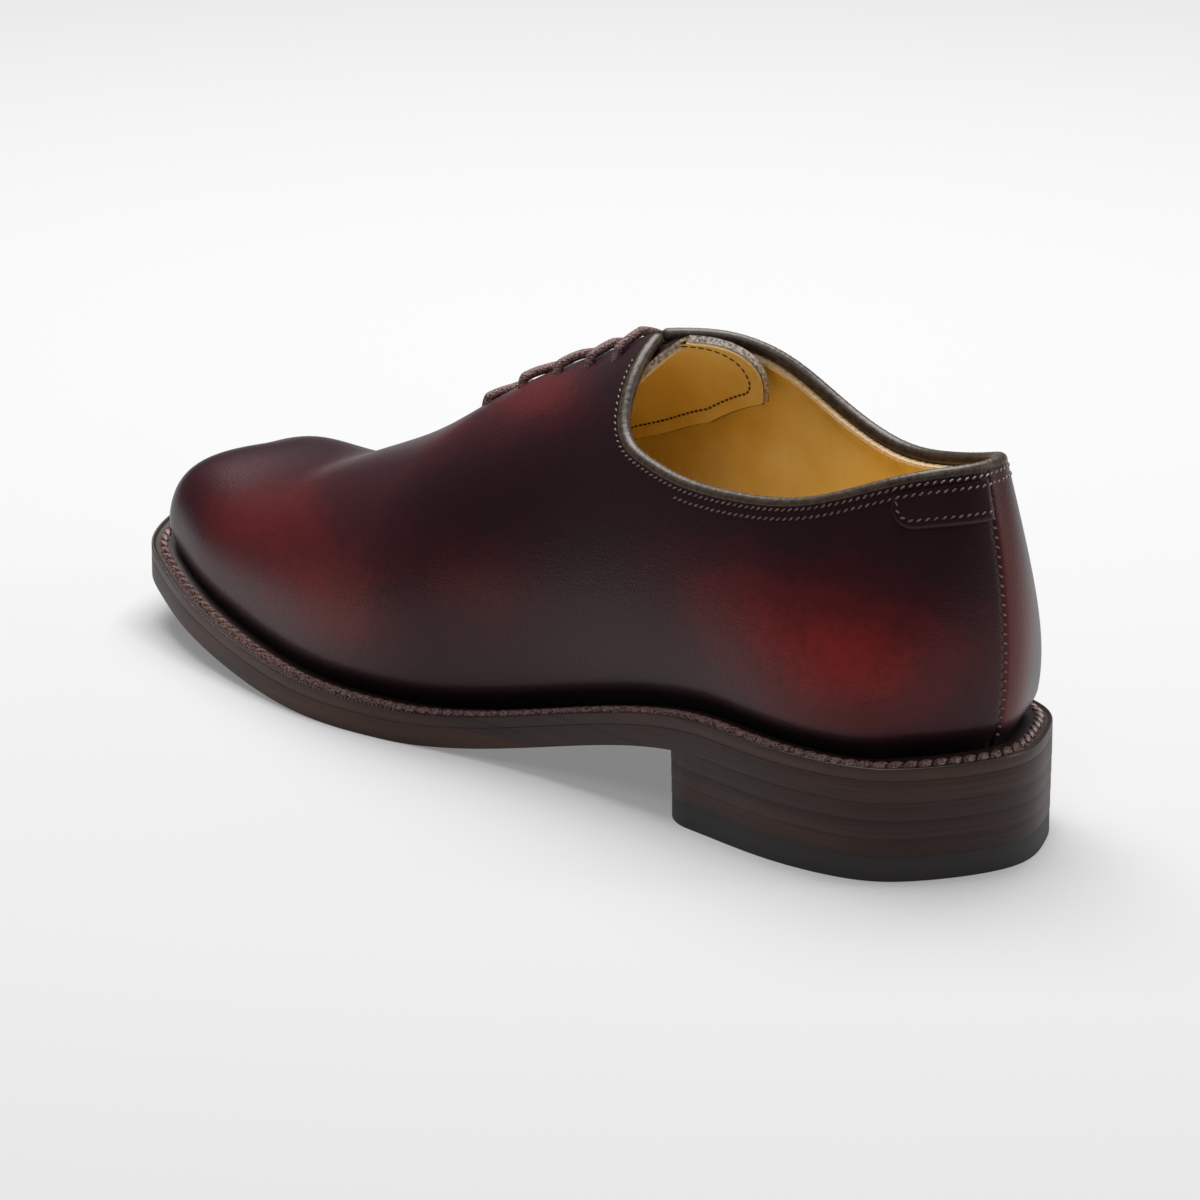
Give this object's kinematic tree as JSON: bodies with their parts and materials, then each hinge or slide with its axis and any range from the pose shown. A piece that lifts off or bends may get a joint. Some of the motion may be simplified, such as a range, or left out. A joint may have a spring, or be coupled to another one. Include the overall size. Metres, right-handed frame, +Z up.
{
  "type": "oxford shoe",
  "caption": "Low lace-up dress shoe for the left foot with a plain one-piece upper, rolled collar edge, welted sole and stacked block heel.",
  "frame": {"origin": "on the floor, at the middle of the heel's flat under side", "axes": "+Y from heel to toe, +X to the wearer's right, which is the inner side of this left shoe, +Z up"},
  "size_m": [0.1015, 0.3051, 0.107],
  "materials": {
    "burnished_calf": "burnished calf leather, near black with dark red patches, satin gloss",
    "binding_leather": "thin rolled leather, dark brown, half gloss",
    "sole_leather": "dense sole leather with a dark brown painted edge",
    "heel_rubber": "dark matt rubber",
    "welt_leather": "stitched dark brown welting leather, half matt",
    "lining_leather": "tan lining leather, matt",
    "lace_cord": "round waxed cotton cord, plum brown"
  },
  "bodies": {
    "root": {"outsole": "sole_leather", "welt": "welt_leather", "insole": "lining_leather", "heel_lift_1": "sole_leather", "heel_lift_2": "sole_leather", "heel_lift_3": "sole_leather", "heel_top_piece": "heel_rubber", "upper": "burnished_calf", "collar_binding": "binding_leather", "heel_tab": "burnished_calf", "tongue": "burnished_calf", "lace_bar_1": "lace_cord", "lace_bar_2": "lace_cord", "lace_bar_3": "lace_cord", "lace_bar_4": "lace_cord", "lace_bar_5": "lace_cord"}
  },
  "joints": []
}
